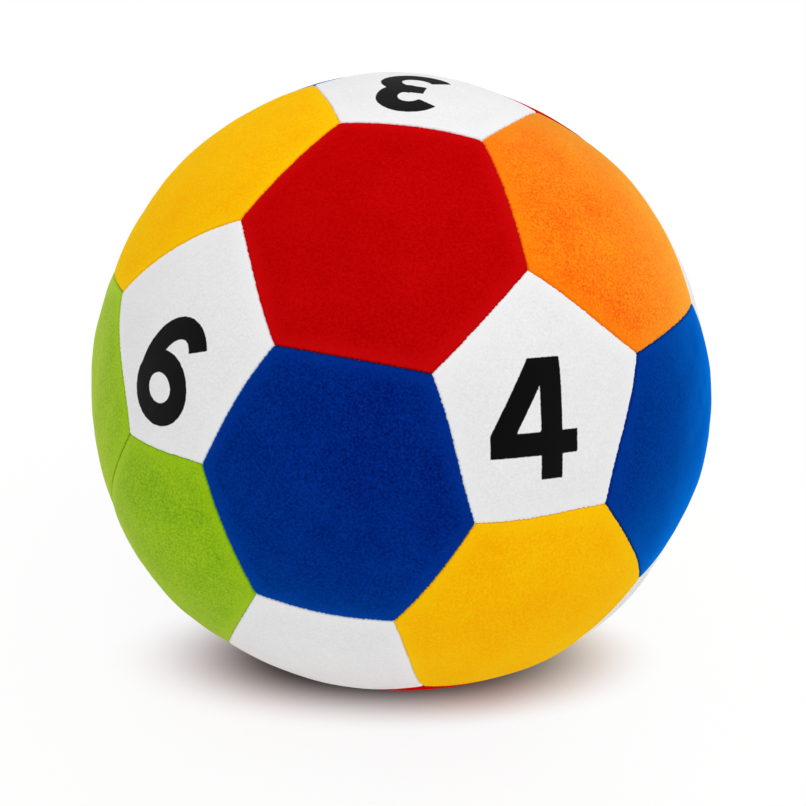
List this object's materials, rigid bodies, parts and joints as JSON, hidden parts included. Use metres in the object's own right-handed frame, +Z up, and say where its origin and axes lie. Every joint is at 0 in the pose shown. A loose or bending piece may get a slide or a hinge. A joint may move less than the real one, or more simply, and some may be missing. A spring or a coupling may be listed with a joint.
{
  "type": "plush ball",
  "caption": "Stuffed soft ball sewn from white pentagon and coloured hexagon panels of short-pile plush, puffed between sunken seams, with turned-in seam edges round a fibre filling.",
  "frame": {"origin": "middle of the small flat on which the standing ball rests, under the ball's centre", "axes": "+Z up through the middle of the top white pentagon; -Y, the front, through the middle of a lower white pentagon; +X to the right as the front is seen"},
  "size_m": [0.1994, 0.1998, 0.1995],
  "materials": {
    "white_plush": "matte",
    "red_plush": "matte",
    "blue_plush": "matte",
    "yellow_plush": "matte",
    "orange_plush": "matte",
    "green_plush": "matte",
    "polyester_fibre": "matte",
    "seam_thread": "satin"
  },
  "bodies": {
    "root": {"fibre_filling": "polyester_fibre", "white_pentagon_top": "white_plush", "white_pentagon_upper_1": "white_plush", "white_pentagon_upper_2": "white_plush", "white_pentagon_upper_3": "white_plush", "white_pentagon_upper_4": "white_plush", "white_pentagon_upper_5": "white_plush", "white_pentagon_lower_1": "white_plush", "white_pentagon_lower_2": "white_plush", "white_pentagon_lower_3": "white_plush", "white_pentagon_lower_4": "white_plush", "white_pentagon_lower_5": "white_plush", "white_pentagon_bottom": "white_plush", "red_hexagon_crown_1": "red_plush", "orange_hexagon_crown_2": "orange_plush", "red_hexagon_crown_3": "red_plush", "blue_hexagon_crown_4": "blue_plush", "yellow_hexagon_crown_5": "yellow_plush", "blue_hexagon_upper_belt_1": "blue_plush", "blue_hexagon_upper_belt_2": "blue_plush", "green_hexagon_upper_belt_3": "green_plush", "yellow_hexagon_upper_belt_4": "yellow_plush", "green_hexagon_upper_belt_5": "green_plush", "yellow_hexagon_lower_belt_1": "yellow_plush", "orange_hexagon_lower_belt_2": "orange_plush", "red_hexagon_lower_belt_3": "red_plush", "orange_hexagon_lower_belt_4": "orange_plush", "green_hexagon_lower_belt_5": "green_plush", "red_hexagon_base_1": "red_plush", "green_hexagon_base_2": "green_plush", "yellow_hexagon_base_3": "yellow_plush", "blue_hexagon_base_4": "blue_plush", "orange_hexagon_base_5": "orange_plush"}
  },
  "joints": []
}
